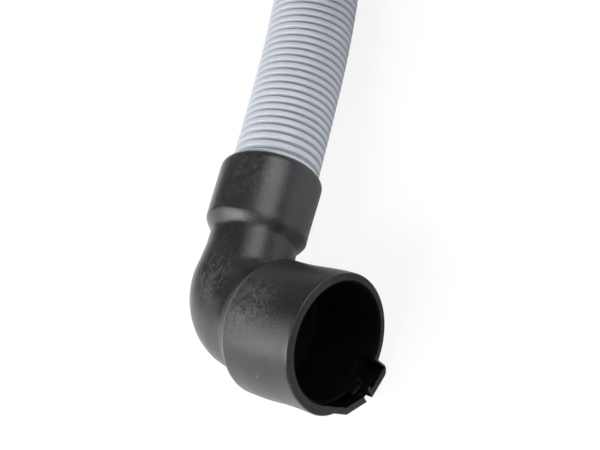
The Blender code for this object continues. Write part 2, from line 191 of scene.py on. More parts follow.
def ring_tree():
    """A line becomes a ringed tube: the radius follows each point's place in its ring."""
    tree = bpy.data.node_groups.new("hose rings", "GeometryNodeTree")
    face = tree.interface
    face.new_socket("Line", in_out="INPUT", socket_type="NodeSocketGeometry")
    for name, kind, value in (
        ("Crest Radius", "NodeSocketFloat", HOSE_D / 2),
        ("Groove Radius", "NodeSocketFloat", HOSE_GROOVE_R),
        ("Groove Share", "NodeSocketFloat", 0.21),
        ("Crown", "NodeSocketFloat", 0.00012),
        ("Sides", "NodeSocketInt", 20),
    ):
        face.new_socket(name, in_out="INPUT", socket_type=kind).default_value = value
    face.new_socket("Plastic", in_out="INPUT", socket_type="NodeSocketMaterial")
    face.new_socket("Tube", in_out="OUTPUT", socket_type="NodeSocketGeometry")
    new, link = tree.nodes.new, tree.links.new
    given, result = new("NodeGroupInput"), new("NodeGroupOutput")

    def maths(operation, first, second):
        node = new("ShaderNodeMath")
        node.operation = operation
        for socket, value in zip(node.inputs, (first, second)):
            if isinstance(value, float):
                socket.default_value = value
            else:
                link(value, socket)
        return node.outputs[0]

    phase = new("GeometryNodeInputNamedAttribute")
    phase.data_type = "FLOAT"
    phase.inputs["Name"].default_value = "phase"
    off_groove = maths("MINIMUM", phase.outputs[0], maths("SUBTRACT", 1.0, phase.outputs[0]))
    rise = new("ShaderNodeMapRange")
    rise.interpolation_type = "SMOOTHSTEP"
    link(off_groove, rise.inputs["Value"])
    link(maths("MULTIPLY", given.outputs["Groove Share"], 0.3), rise.inputs["From Min"])
    link(given.outputs["Groove Share"], rise.inputs["From Max"])
    step = maths("SUBTRACT", given.outputs["Crest Radius"], given.outputs["Groove Radius"])
    off_crest = maths("SUBTRACT", 1.0, maths("MULTIPLY", off_groove, 2.0))
    low_side = maths("MULTIPLY", maths("POWER", off_crest, 2.0), given.outputs["Crown"])
    radius = maths("ADD", given.outputs["Groove Radius"], maths("MULTIPLY", step, rise.outputs["Result"]))
    radius = maths("SUBTRACT", radius, low_side)
    curve = new("GeometryNodeMeshToCurve")
    link(given.outputs["Line"], curve.inputs["Mesh"])
    upright = new("GeometryNodeSetCurveNormal")
    upright.mode = "Z_UP"
    link(curve.outputs["Curve"], upright.inputs["Curve"])
    # The crest share is kept as an attribute; the plastic uses it to paint shade into the grooves.
    keep = new("GeometryNodeStoreNamedAttribute")
    keep.data_type = "FLOAT"
    keep.domain = "POINT"
    keep.inputs["Name"].default_value = "crest"
    link(upright.outputs["Curve"], keep.inputs["Geometry"])
    link(rise.outputs["Result"], keep.inputs["Value"])
    circle = new("GeometryNodeCurvePrimitiveCircle")
    link(given.outputs["Sides"], circle.inputs["Resolution"])
    circle.inputs["Radius"].default_value = 1.0
    skin = new("GeometryNodeCurveToMesh")
    link(keep.outputs["Geometry"], skin.inputs["Curve"])
    link(circle.outputs["Curve"], skin.inputs["Profile Curve"])
    link(radius, skin.inputs["Scale"])
    whole = new("GeometryNodeRealizeInstances")
    link(skin.outputs["Mesh"], whole.inputs[0])
    coat = new("GeometryNodeSetMaterial")
    link(whole.outputs[0], coat.inputs["Geometry"])
    link(given.outputs["Plastic"], coat.inputs["Material"])
    link(coat.outputs["Geometry"], result.inputs["Tube"])
    return tree


def add(name, data):
    """A new object in the scene, unmoved, that shows the given data."""
    made = bpy.data.objects.new(name, data)
    bpy.context.scene.collection.objects.link(made)
    return made


def applied(made):
    """The object's mesh as its modifiers leave it."""
    bpy.context.view_layer.update()
    return bpy.data.meshes.new_from_object(made.evaluated_get(bpy.context.evaluated_depsgraph_get()))


def ringed_tube(tree, stations, points, sides, plastic):
    """The mesh of one stretch of the hose."""
    mesh = bpy.data.meshes.new("stretch")
    mesh.from_pydata(points, [(k, k + 1) for k in range(len(points) - 1)], [])
    phase = mesh.attributes.new("phase", "FLOAT", "POINT")
    phase.data.foreach_set("value", [share for _, share in stations])
    made = add("stretch", mesh)
    rings = made.modifiers.new("rings", "NODES")
    rings.node_group = tree
    names = {item.name: item.identifier for item in tree.interface.items_tree if item.in_out == "INPUT"}
    rings[names["Sides"]] = sides
    rings[names["Plastic"]] = plastic
    skin = applied(made)
    bpy.data.objects.remove(made, do_unlink=True)
    return skin


def end_sleeve(work, loop, inward, depth):
    """The cut end of the hose: a rim, and the bore behind it, closed some way in."""
    middle = sum((v.co for v in loop), Vector()) / len(loop)
    rings = [loop]
    for shift in (0.0, depth):
        ring = []
        for v in loop:
            ring.append(work.verts.new(middle + (v.co - middle).normalized() * HOSE_BORE_R + inward * shift))
        rings.append(ring)
    for first, second in zip(rings, rings[1:]):
        for k in range(len(first)):
            work.faces.new((first[k - 1], first[k], second[k], second[k - 1]))
    work.faces.new(rings[-1])


def hose_mesh(plastic):
    """Fine rings where the camera looks, plainer ones in the coil, joined in a groove without a seam."""
    line = hose_line()
    lengths = measured(line)
    stretches = hose_stations(line)
    tree = ring_tree()
    work = bmesh.new()
    loops, path = [], []
    for stations, sides in zip(stretches, HOSE_SIDES):
        points = placed(line, lengths, stations)
        path += points
        before = len(work.verts)
        work.from_mesh(ringed_tube(tree, stations, points, sides, plastic))
        work.verts.ensure_lookup_table()
        fresh = work.verts[before:]
        loops.append((fresh[:sides], fresh[-sides:]))
    fine, coarse = loops[0][1], loops[1][0]
    share = len(fine) // len(coarse)
    for k in range(len(coarse)):
        along = [fine[(share * k + j) % len(fine)] for j in range(share + 1)]
        work.faces.new([coarse[k]] + along + [coarse[(k + 1) % len(coarse)]])
    end_sleeve(work, list(loops[0][0]), (path[1] - path[0]).normalized(), HOSE_MOUTHS[0])
    end_sleeve(work, list(loops[1][1]), (path[-2] - path[-1]).normalized(), HOSE_MOUTHS[1])
    bmesh.ops.recalc_face_normals(work, faces=work.faces)
    for face in work.faces:
        face.smooth = True
        face.material_index = 0
    mesh = bpy.data.meshes.new("corrugated_hose")
    work.to_mesh(mesh)
    work.free()
    mesh.materials.clear()
    mesh.materials.append(plastic)
    mesh.set_sharp_from_angle(angle=math.radians(60))
    return mesh, path


def nodes_of(name):
    """A new material, its tree, and a function that adds a node with values for its sockets."""
    made = bpy.data.materials.new(name)
    made.use_nodes = True
    tree = made.node_tree

    def new(kind, **values):
        return filled(tree, kind, values)
    return made, tree, new


def filled(tree, kind, values):
    """A node whose properties and sockets have the given values."""
    node = tree.nodes.new(kind)
    for key, value in values.items():
        if hasattr(node, key):
            setattr(node, key, value)
        else:
            node.inputs[key.replace("_", " ")].default_value = value
    return node


def blotch_group():
    """Soft uneven patches of tone, such as handling leaves on plastic and rubber."""
    tree = bpy.data.node_groups.new("handled patches", "ShaderNodeTree")
    face = tree.interface
    face.new_socket("Place", in_out="INPUT", socket_type="NodeSocketVector")
    face.new_socket("Size", in_out="INPUT", socket_type="NodeSocketFloat").default_value = 60.0
    face.new_socket("Contrast", in_out="INPUT", socket_type="NodeSocketFloat").default_value = 0.5
    face.new_socket("Patches", in_out="OUTPUT", socket_type="NodeSocketFloat")
    face.new_socket("Grain", in_out="OUTPUT", socket_type="NodeSocketFloat")
    given, result = tree.nodes.new("NodeGroupInput"), tree.nodes.new("NodeGroupOutput")
    broad = filled(tree, "ShaderNodeTexNoise", {"Detail": 4.0, "Roughness": 0.6})
    grain = filled(tree, "ShaderNodeTexNoise", {"Scale": 2600.0, "Detail": 2.0})
    spread = filled(tree, "ShaderNodeMapRange", {"interpolation_type": "SMOOTHSTEP"})
    low = filled(tree, "ShaderNodeMath", {"operation": "MULTIPLY_ADD"})
    low.inputs[1].default_value = -0.25
    low.inputs[2].default_value = 0.5
    high = filled(tree, "ShaderNodeMath", {"operation": "MULTIPLY_ADD"})
    high.inputs[1].default_value = 0.25
    high.inputs[2].default_value = 0.55
    link = tree.links.new
    link(given.outputs["Place"], broad.inputs["Vector"])
    link(given.outputs["Place"], grain.inputs["Vector"])
    link(given.outputs["Size"], broad.inputs["Scale"])
    link(given.outputs["Contrast"], low.inputs[0])
    link(given.outputs["Contrast"], high.inputs[0])
    link(broad.outputs["Fac"], spread.inputs["Value"])
    link(low.outputs[0], spread.inputs["From Min"])
    link(high.outputs[0], spread.inputs["From Max"])
    link(spread.outputs["Result"], result.inputs["Patches"])
    link(grain.outputs["Fac"], result.inputs["Grain"])
    return tree


PATCHES = blotch_group()


def handled(tree, new, size, contrast):
    """The object's coordinates, and handled patches laid out on them."""
    place = new("ShaderNodeTexCoord")
    patches = new("ShaderNodeGroup", node_tree=PATCHES, Size=size, Contrast=contrast)
    tree.links.new(place.outputs["Object"], patches.inputs["Place"])
    return place, patches


def two_tones(tree, new, factor, first, second):
    """A colour that goes from the first tone to the second with a factor."""
    tone = new("ShaderNodeMix", data_type="RGBA")
    tone.inputs[6].default_value = (*first, 1.0)
    tone.inputs[7].default_value = (*second, 1.0)
    tree.links.new(factor, tone.inputs["Factor"])
    return tone


def relief(tree, new, patches, strength, distance):
    """Fine grain of a surface, as a bump in its normal."""
    bump = new("ShaderNodeBump")
    bump.inputs["Strength"].default_value = strength
    bump.inputs["Distance"].default_value = distance
    tree.links.new(patches.outputs["Grain"], bump.inputs["Height"])
    tree.links.new(bump.outputs["Normal"], tree.nodes["Principled BSDF"].inputs["Normal"])


def hose_plastic():
    """Light grey plastic with a satin sheen. Its grooves get painted shade: their colour is a little darker
    than the crests'.
    """
    made, tree, new = nodes_of("hose plastic")
    link = tree.links.new
    shader = tree.nodes["Principled BSDF"]
    shader.inputs["Roughness"].default_value = 0.42
    shader.inputs["IOR"].default_value = 1.49
    patches = handled(tree, new, 55.0, 0.4)[1]
    crest = new("ShaderNodeAttribute", attribute_name="crest")
    # Painted shade: a groove's colour is darker than a crest's, for the shade that falls into it.
    tone = two_tones(tree, new, crest.outputs["Fac"], (0.381, 0.401, 0.438), (0.429, 0.451, 0.494))
    worn = new("ShaderNodeMix", data_type="RGBA", blend_type="MULTIPLY")
    worn.inputs["Factor"].default_value = 1.0
    shade = new("ShaderNodeMapRange")
    shade.inputs["To Min"].default_value = 0.955
    shade.inputs["To Max"].default_value = 1.0
    link(patches.outputs["Patches"], shade.inputs["Value"])
    link(tone.outputs[2], worn.inputs[6])
    link(shade.outputs["Result"], worn.inputs[7])
    link(worn.outputs[2], shader.inputs["Base Color"])
    relief(tree, new, patches, 0.05, 0.0002)
    return made


hose_skin, hose_path = hose_mesh(hose_plastic())
hose = add("corrugated_hose", hose_skin)
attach(hose, "root")
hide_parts("hose_run", "hose_coil")


# Rubber elbow: one black moulding with a wide socket, a bend, a neck and a collar that holds the hose.
# Beside the mouth stands a hollow key with two flats and a slot.
# It lets the socket go onto the appliance's spigot in one turned position only.
# Lengths run from the corner where the lines of socket and neck meet. Tables hold (place, value) pairs.
SOCKET_REACH = 0.0351
SOCKET_R = 0.01745
SOCKET_BORE_R = 0.0149
SOCKET_DEPTH = 0.0205
SOCKET_SAG = 0.001
SAG_BACK = 0.017
SAG_LENGTH = 0.016
BORE_SHIFT = Vector((0.0, 0.00022, -0.00027))
SHOULDER = (
    (0.0, 0.01745), (0.0004, 0.01743), (0.0007, 0.01736), (0.0010, 0.01723), (0.0014, 0.01699),
    (0.0019, 0.01664), (0.0024, 0.01626), (0.0029, 0.01588), (0.0033, 0.01558), (0.0037, 0.01530),
    (0.0040, 0.01511),
)
SHOULDER_END = 0.0104
RIDGE_R = 0.015
RIDGE_FADE = 11.0
RIDGE_SLOPE = 0.75
HEEL_R = 0.0129
HEEL_BULGE = (
    (0.0, -0.0007), (0.06, -0.0005), (0.12, 0.0), (0.25, 0.0007), (0.4, 0.0011), (0.55, 0.00125),
    (0.68, 0.0012), (0.78, 0.0010), (0.87, 0.00062), (0.93, 0.0002), (0.97, -0.00015),
    (1.0, -0.0004),
)
CROTCH_GAP = 0.0002
CROTCH_OPENS = 1.8
PASSAGE_R = 0.0096
PASSAGE_LEAN = 0.0009
RIM_ROUND = 0.0004
BORE_ROUND = 0.0006
COLLAR_BOTTOM = 0.0257
COLLAR_END = 0.0407
COLLAR_BORE_R = 0.0123
COLLAR_EDGE = 0.00015
NECK_PROFILE = (
    (0.0160, 0.01192), (0.0172, 0.01185), (0.0188, 0.0118), (0.0197, 0.01178), (0.0203, 0.01182),
    (0.0208, 0.01195), (0.0212, 0.01212), (0.0217, 0.01242), (0.0222, 0.01277), (0.0227, 0.01312),
    (0.0232, 0.01345), (0.0236, 0.01366), (0.02385, 0.01377), (0.0241, 0.01383), (0.0245, 0.01385),
    (0.0251, 0.01385), (0.0265, 0.01386), (0.0285, 0.01389), (0.032, 0.01395), (0.0355, 0.01401),
    (0.0382, 0.01404), (0.0390, 0.01401), (0.0396, 0.01386), (0.0400, 0.01363), (0.0404, 0.01328),
    (0.0406, 0.01296), (0.0407, 0.01265),
)
NECK_LEAN = (
    (0.0, 0.0008), (0.012, 0.0008), (0.016, 0.0007), (0.021, 0.0009), (0.026, 0.001), (0.040, 0.0005),
    (0.05, 0.0005),
)
NECK_SLIM = 0.0004
NECK_DROOP = (
    (0.0180, 0.0), (0.0200, 0.0009), (0.0212, 0.0013), (0.0241, 0.0014), (0.0265, 0.0008), (0.030, 0.0),
)
ELBOW_SIDES = 96
ARC_STEP = 22.5
FLARE_LENGTH = 0.010
FLARE = (
    (-180.0, 0.0), (40.0, 0.0), (50.0, 0.0004), (58.0, 0.00055), (66.0, 0.0006), (76.0, 0.0005),
    (86.0, 0.00025), (98.0, 0.0), (180.0, 0.0),
)


def between(table, at):
    """A value read off a table of (place, value) pairs."""
    for (a, low), (b, high) in zip(table, table[1:]):
        if at <= b:
            return low + (high - low) * max(0.0, (at - a) / (b - a))
    return table[-1][1]


def crotch():
    """The inner corner between socket and neck, about which the bend's sections fan out."""
    return Vector((SHOULDER_END, RIDGE_R - SOCKET_SAG + CROTCH_GAP, 0.0))


def outlet_ring(x, radius, shift=Vector()):
    """A round section of the socket. Its middle sags behind the mouth and comes up to it."""
    rise = ease((x - SOCKET_REACH + SAG_BACK) / SAG_LENGTH)
    return Vector((x, -SOCKET_SAG * (1 - rise), 0.0)) + shift, Vector((0.0, -1.0, 0.0)), radius, radius


def neck_ring(distance, radius, lean=None):
    """A round section of neck or collar. It tilts where the collar's underside droops."""
    droop = between(NECK_DROOP, distance) / 2 if lean is None else 0.0
    lean = between(NECK_LEAN, distance) if lean is None else lean
    middle = HOSE_DIR * (distance - droop) + HOSE_SIDE * lean
    return middle, HOSE_SIDE + HOSE_DIR * (droop / radius), radius, radius


def bend_ring(share, near, far, half_height):
    """An oval section of the bend, from near to far off the crotch."""
    angle = (math.pi - ELBOW_ANGLE) * share
    out = Vector((-math.sin(angle), -math.cos(angle), 0.0))
    return crotch() + out * (near + far) / 2, out, (far - near) / 2, half_height


def elbow_sections():
    """Sections round the wall: outside from the mouth to the collar, and back along the inside."""
    rings = []
    for k in range(5):
        a = math.radians(ARC_STEP * k)
        x = SOCKET_REACH - RIM_ROUND * (1 - math.cos(a))
        rings.append(outlet_ring(x, SOCKET_R - RIM_ROUND * (1 - math.sin(a))))
    start = SOCKET_REACH - SOCKET_DEPTH
    for k in range(1, 17):
        x = SOCKET_REACH - RIM_ROUND - (SOCKET_DEPTH - RIM_ROUND) * k / 17
        rings.append(outlet_ring(x, SOCKET_R))
    for back, radius in SHOULDER:
        rings.append(outlet_ring(start - back, radius))
    bend_end = crotch().dot(HOSE_DIR)
    neck_gap = between(NECK_LEAN, bend_end) - crotch().dot(HOSE_SIDE) - HEEL_R
    for k in range(41):
        share = k / 40
        fade = math.exp(-share * RIDGE_FADE)
        swell = RIDGE_SLOPE * (1 - share) + (1 - RIDGE_SLOPE) * fade
        near = CROTCH_GAP + (neck_gap - CROTCH_GAP) * share
        far = near + 2 * (HEEL_R + (RIDGE_R - HEEL_R) * swell) + between(HEEL_BULGE, share)
        near = CROTCH_GAP + (neck_gap + NECK_SLIM - CROTCH_GAP) * share ** CROTCH_OPENS
        rings.append(bend_ring(share, near, far, HEEL_R + (RIDGE_R - HEEL_R) * fade - NECK_SLIM * share ** 3))
    neck_start, neck_r = NECK_PROFILE[0]
    slim = HEEL_R - NECK_SLIM
    for k in range(1, 6):
        share = k / 6
        rings.append(neck_ring(bend_end + (neck_start - bend_end) * share, slim + (neck_r - slim) * share))
    rings += [neck_ring(at, radius) for at, radius in NECK_PROFILE]
    rings.append(neck_ring(COLLAR_END, COLLAR_BORE_R + COLLAR_EDGE, 0.0))
    rings.append(neck_ring(COLLAR_END - COLLAR_EDGE, COLLAR_BORE_R, 0.0))
    first_inside = len(rings)
    for k in range(1, 4):
        rings.append(neck_ring(COLLAR_END + (COLLAR_BOTTOM - COLLAR_END) * k / 3, COLLAR_BORE_R, 0.0))
    rings.append(neck_ring(COLLAR_BOTTOM, PASSAGE_R, 0.0))
    inner_middle = crotch().y + SOCKET_SAG
    inner_neck = PASSAGE_LEAN - crotch().dot(HOSE_SIDE)
    for k in range(17):
        share = 1 - k / 16
        at = inner_middle + (inner_neck - inner_middle) * share
        rings.append(bend_ring(share, at - PASSAGE_R, at + PASSAGE_R, PASSAGE_R))
    for k in range(1, 5):
        share = k / 4
        x = SHOULDER_END + (start - SHOULDER_END) * share
        rings.append(outlet_ring(x, PASSAGE_R + (SOCKET_BORE_R - PASSAGE_R) * share, BORE_SHIFT * share))
    for k in range(1, 9):
        x = start + (SOCKET_DEPTH - BORE_ROUND) * k / 8
        rings.append(outlet_ring(x, SOCKET_BORE_R, BORE_SHIFT))
    for k in range(1, 5):
        a = math.radians(ARC_STEP * k)
        x = SOCKET_REACH - BORE_ROUND * (1 - math.sin(a))
        rings.append(outlet_ring(x, SOCKET_BORE_R + BORE_ROUND * (1 - math.cos(a)), BORE_SHIFT))
    return rings, first_inside


def flared(middle, point):
    """The socket's skin swells a little towards the mouth, beside the key's foot."""
    past = ease((point.x - SOCKET_REACH + FLARE_LENGTH) / FLARE_LENGTH)
    arm = point - middle
    turn = math.degrees(math.atan2(-arm.y, -arm.z))
    return point + arm.normalized() * between(FLARE, turn) * past


def closed_loft(name, rings, first_inside, sides):
    """A skin through oval sections that comes back to its start, as a wall round a hollow does."""
    work = bmesh.new()
    up = Vector((0.0, 0.0, 1.0))
    loops = []
    for j, (middle, across, width, height) in enumerate(rings):
        loop = []
        for k in range(sides):
            t = 2 * math.pi * k / sides
            point = middle + across * width * math.cos(t) + up * height * math.sin(t)
            if point.x > SOCKET_REACH - FLARE_LENGTH and j < first_inside:
                point = flared(middle, point)
            loop.append(work.verts.new(point))
        loops.append(loop)
    for j, second in enumerate(loops):
        first = loops[j - 1]
        for k in range(sides):
            made = work.faces.new((first[k - 1], first[k], second[k], second[k - 1]))
            # Faces inside the hollow get rubber 1, the one with painted shade.
            made.material_index = 1 if j > first_inside else 0
    bmesh.ops.recalc_face_normals(work, faces=work.faces)
    mesh = bpy.data.meshes.new(name)
    work.to_mesh(mesh)
    work.free()
    return mesh


def mended(mesh, merge):
    """The mesh with its double points merged and its normals turned outwards."""
    work = bmesh.new()
    work.from_mesh(mesh)
    bmesh.ops.remove_doubles(work, verts=work.verts, dist=merge)
    bmesh.ops.recalc_face_normals(work, faces=work.faces)
    work.to_mesh(mesh)
    work.free()
    return mesh


def smoothed(mesh, sharp):
    """The mesh shaded smooth, apart from edges sharper than so many degrees."""
    mesh.shade_smooth()
    mesh.set_sharp_from_angle(angle=math.radians(sharp))
    return mesh


# The key, seen into the mouth. Angles run from the floor's side, away from the hose, about the socket's axis.
# A flat is given by the angle of its normal and its rise over the socket's skin.
KEY_FLATS = ((math.radians(8.4), 0.00445), (math.radians(42.0), 0.0025))
KEY_SIDE = 0.0031
KEY_END = math.radians(40.7)
KEY_FOOT = math.radians(62.0)
KEY_DEPTH = 0.007
KEY_WALL = 0.002
KEY_FLOOR = 0.0017
KEY_SIDE_WALL = 0.0006
KEY_FOOT_LINE = (math.radians(71.8), 0.0154)
KEY_ROOT = 0.0012
KEY_CORNER = 0.0024
KEY_ROUND = 0.0009
KEY_EDGE = 0.0003
LIP_WALL = 0.0009
LIP_DROP = 0.002
LIP_DROP_FROM = math.radians(30.0)
SLOT_ANGLE = math.radians(17.4)
SLOT_WIDTH = 0.0021
SLOT_DEPTH = 0.0023
SLOT_WALL = 0.0009
LOW_WALL_REACH = 0.0185
LOW_WALL_SIDES = (0.0003, 0.00045)
OVERCUT = 0.0005


def polar(radius, angle):
    """A point of the mouth's plane, from the socket's axis."""
    return Vector((radius * math.cos(angle), radius * math.sin(angle)))


def crossing(first, second):
    """Where two lines meet, each given as (angle of its normal, distance from the centre)."""
    (a, p), (b, q) = first, second
    spread = math.sin(b - a)
    x, y = p * math.sin(b) - q * math.sin(a), q * math.cos(a) - p * math.cos(b)
    return Vector((x / spread, y / spread))


def fillet(before, corner, after, radius, steps):
    """Points of an arc that rounds one corner of an outline."""
    to_before, to_after = before - corner, after - corner
    half = to_before.angle(to_after) / 2
    back = min(radius / math.tan(half), 0.4 * to_before.length, 0.4 * to_after.length)
    start = corner + to_before.normalized() * back
    centre = corner + (to_before.normalized() + to_after.normalized()).normalized() * (back / math.cos(half))
    arm = start - centre
    sweep = arm.angle_signed(corner + to_after.normalized() * back - centre)
    return [centre + Matrix.Rotation(-sweep * step / steps, 2) @ arm for step in range(steps + 1)]


def key_flats(wall=0.0):
    """The key's flats, or a pocket's behind a wall, as lines (angle of the normal, distance)."""
    return [(angle, SOCKET_R + rise - wall) for angle, rise in KEY_FLATS]


def arc(radius, start, end, steps):
    """Points round the socket's axis from one angle to another."""
    return [polar(radius, start + (end - start) * k / steps) for k in range(steps + 1)]


def mouth_plate(name, outline, depth, past=0.0, edge=0.0, rubber=1):
    """A plate across the mouth from an outline with x towards the floor and y away from the hose."""
    curve = bpy.data.curves.new(name, "CURVE")
    curve.dimensions = "2D"
    curve.fill_mode = "BOTH"
    curve.extrude = (depth + past) / 2 - edge
    curve.bevel_depth = edge
    curve.bevel_resolution = 2
    curve.offset = -edge
    spline = curve.splines.new("POLY")
    spline.points.add(len(outline) - 1)
    for target, (u, v) in zip(spline.points, outline):
        target.co = (u, v, 0.0, 1.0)
    spline.use_cyclic_u = True
    made = add(name, curve)
    mesh = applied(made)
    bpy.data.objects.remove(made, do_unlink=True)
    turn = Matrix(((0, 0, -1), (0, -1, 0), (-1, 0, 0))).transposed().to_4x4()
    mesh.transform(Matrix.Translation((SOCKET_REACH - (depth - past) / 2, 0.0, 0.0)) @ turn)
    mended(mesh, 1e-6)
    # Rubber 1, the default, is the one with painted shade, so the walls the cutters leave get it.
    for face in mesh.polygons:
        face.material_index = rubber
    return add(name, mesh)


def key_block():
    """The solid that stands out of the mouth's rim, before its pockets and slot are cut."""
    inner = SOCKET_R - KEY_ROOT
    flat_1, flat_2 = key_flats()
    corner, middle = crossing((-math.pi / 2, KEY_SIDE), flat_1), crossing(flat_1, flat_2)
    end = polar(flat_2[1] / math.cos(KEY_END - flat_2[0]), KEY_END)
    foot = polar(SOCKET_R - 0.0001, KEY_FOOT)
    inside = arc(inner, KEY_FOOT, math.asin(-KEY_SIDE / inner), 16)
    outline = fillet(inside[-1], corner, middle, KEY_CORNER, 10) + fillet(corner, middle, end, KEY_ROUND, 4)
    outline += fillet(middle, end, foot, 1.6 * KEY_ROUND, 8) + [foot] + inside
    return mouth_plate("key_block", outline, KEY_DEPTH, edge=KEY_EDGE, rubber=0)


def key_hollows():
    """What is cut from the key: a pocket open to the bore, one behind a lip, two low parts, and the slot."""
    lip, inside = SOCKET_BORE_R + LIP_WALL, SOCKET_BORE_R - 0.001
    flat_1, flat_2 = key_flats(KEY_WALL)
    along, across = polar(1.0, SLOT_ANGLE), polar(1.0, SLOT_ANGLE + math.pi / 2)
    half, step = SLOT_WIDTH / 2, 0.0001
    side, wall_side = KEY_SIDE - KEY_SIDE_WALL, -SLOT_WIDTH / 2 - SLOT_WALL
    open_pocket = [
        Vector((inside, -side)),
        crossing((-math.pi / 2, side), flat_1),
        crossing(flat_1, (SLOT_ANGLE + math.pi / 2, wall_side)),
        along * inside + across * wall_side,
    ]
    foot_angle, foot_reach = KEY_FOOT_LINE
    foot_line = (foot_angle, foot_reach - step)
    foot_end = foot_angle - math.acos(foot_line[1] / lip)
    slot_side = (SLOT_ANGLE + math.pi / 2, step - half)
    closed_pocket = [crossing(slot_side, flat_1), crossing(flat_1, flat_2), crossing(flat_2, foot_line)]
    closed_pocket += arc(lip, foot_end, SLOT_ANGLE - math.asin((half - step) / lip), 16)
    past_lip = lip + 0.001
    past_end = foot_angle - math.acos(foot_reach / past_lip)
    low_lip = arc(lip + OVERCUT, LIP_DROP_FROM, past_end - 0.05, 8) + [polar(past_lip, past_end)]
    low_lip += [polar(foot_reach, foot_angle)] + arc(inside, foot_angle, LIP_DROP_FROM, 12)
    low, high = wall_side - LOW_WALL_SIDES[0], LOW_WALL_SIDES[1]
    corners = ((inside, low), (LOW_WALL_REACH, low), (LOW_WALL_REACH, high), (inside, high))
    low_wall = [along * u + across * v for u, v in corners]
    near, far = lip + OVERCUT, SOCKET_R + KEY_FLATS[0][1] + 0.003
    slot = [along * u + across * v for u, v in ((near, -half), (far, -half), (far, half), (near, half))]
    return [
        mouth_plate("open_pocket", open_pocket, KEY_DEPTH - KEY_FLOOR, OVERCUT),
        mouth_plate("closed_pocket", closed_pocket, KEY_DEPTH - KEY_FLOOR, OVERCUT),
        mouth_plate("low_lip", low_lip, LIP_DROP, OVERCUT),
        mouth_plate("low_wall", low_wall, LIP_DROP, OVERCUT),
        mouth_plate("key_slot", slot, SLOT_DEPTH, OVERCUT),
    ]


def elbow_mesh(rubbers):
    """The whole moulding. Its skin, the hollow's walls and the mouth's rim have a rubber each; the walls'
    rubber carries painted shade.
    """
    sections, first_inside = elbow_sections()
    body = add("elbow_body", closed_loft("elbow_body", sections, first_inside, ELBOW_SIDES))
    tools = [key_block()] + key_hollows()
    for made in [body] + tools:
        for rubber in rubbers:
            made.data.materials.append(rubber)
    for tool in tools:
        step = body.modifiers.new(tool.name, "BOOLEAN")
        step.operation = "UNION" if tool == tools[0] else "DIFFERENCE"
        step.solver = "EXACT"
        step.object = tool
    mesh = applied(body)
    for made in [body] + tools:
        bpy.data.objects.remove(made, do_unlink=True)
    mesh.transform(ELBOW_FRAME)
    smoothed(mended(mesh, 2e-6), 38)
    mouth_x = (ELBOW_FRAME @ Vector((SOCKET_REACH, 0.0, 0.0))).x
    for face in mesh.polygons:
        on_rim = face.normal.x > 0.97 and face.center.x > mouth_x - 0.0002
        if face.material_index == 0 and on_rim:
            face.material_index = 2
    mesh.name = "rubber_moulding"
    return mesh


def mark_group():
    """Pale marks that handling leaves on black rubber: thick at one place, broken up by a pattern."""
    tree = bpy.data.node_groups.new("handling marks", "ShaderNodeTree")
    face = tree.interface
    face.new_socket("Place", in_out="INPUT", socket_type="NodeSocketVector")
    face.new_socket("Centre", in_out="INPUT", socket_type="NodeSocketVector")
    stretch = face.new_socket("Stretch", in_out="INPUT", socket_type="NodeSocketVector")
    stretch.default_value = (300.0, 300.0, 300.0)
    for name, value in (("Reach", 0.009), ("Core", 0.002), ("Thin", 0.45), ("Thick", 0.65), ("Swirl", 0.6)):
        face.new_socket(name, in_out="INPUT", socket_type="NodeSocketFloat").default_value = value
    face.new_socket("Marks", in_out="OUTPUT", socket_type="NodeSocketFloat")
    given, result = tree.nodes.new("NodeGroupInput"), tree.nodes.new("NodeGroupOutput")
    away = filled(tree, "ShaderNodeVectorMath", {"operation": "DISTANCE"})
    fade = filled(tree, "ShaderNodeMapRange",
                  {"interpolation_type": "SMOOTHSTEP", "To Min": 1.0, "To Max": 0.0})
    spaced = filled(tree, "ShaderNodeVectorMath", {"operation": "MULTIPLY"})
    pattern = filled(tree, "ShaderNodeTexNoise", {"Scale": 1.0, "Detail": 5.0, "Roughness": 0.65})
    broken = filled(tree, "ShaderNodeMapRange", {"interpolation_type": "SMOOTHSTEP"})
    both = filled(tree, "ShaderNodeMath", {"operation": "MULTIPLY"})
    link = tree.links.new
    link(given.outputs["Place"], away.inputs[0])
    link(given.outputs["Centre"], away.inputs[1])
    link(away.outputs["Value"], fade.inputs["Value"])
    link(given.outputs["Core"], fade.inputs["From Min"])
    link(given.outputs["Reach"], fade.inputs["From Max"])
    link(given.outputs["Place"], spaced.inputs[0])
    link(given.outputs["Stretch"], spaced.inputs[1])
    link(spaced.outputs[0], pattern.inputs["Vector"])
    link(given.outputs["Swirl"], pattern.inputs["Distortion"])
    link(pattern.outputs["Fac"], broken.inputs["Value"])
    link(given.outputs["Thin"], broken.inputs["From Min"])
    link(given.outputs["Thick"], broken.inputs["From Max"])
    link(fade.outputs["Result"], both.inputs[0])
    link(broken.outputs["Result"], both.inputs[1])
    link(both.outputs[0], result.inputs["Marks"])
    return tree


MARKS = mark_group()
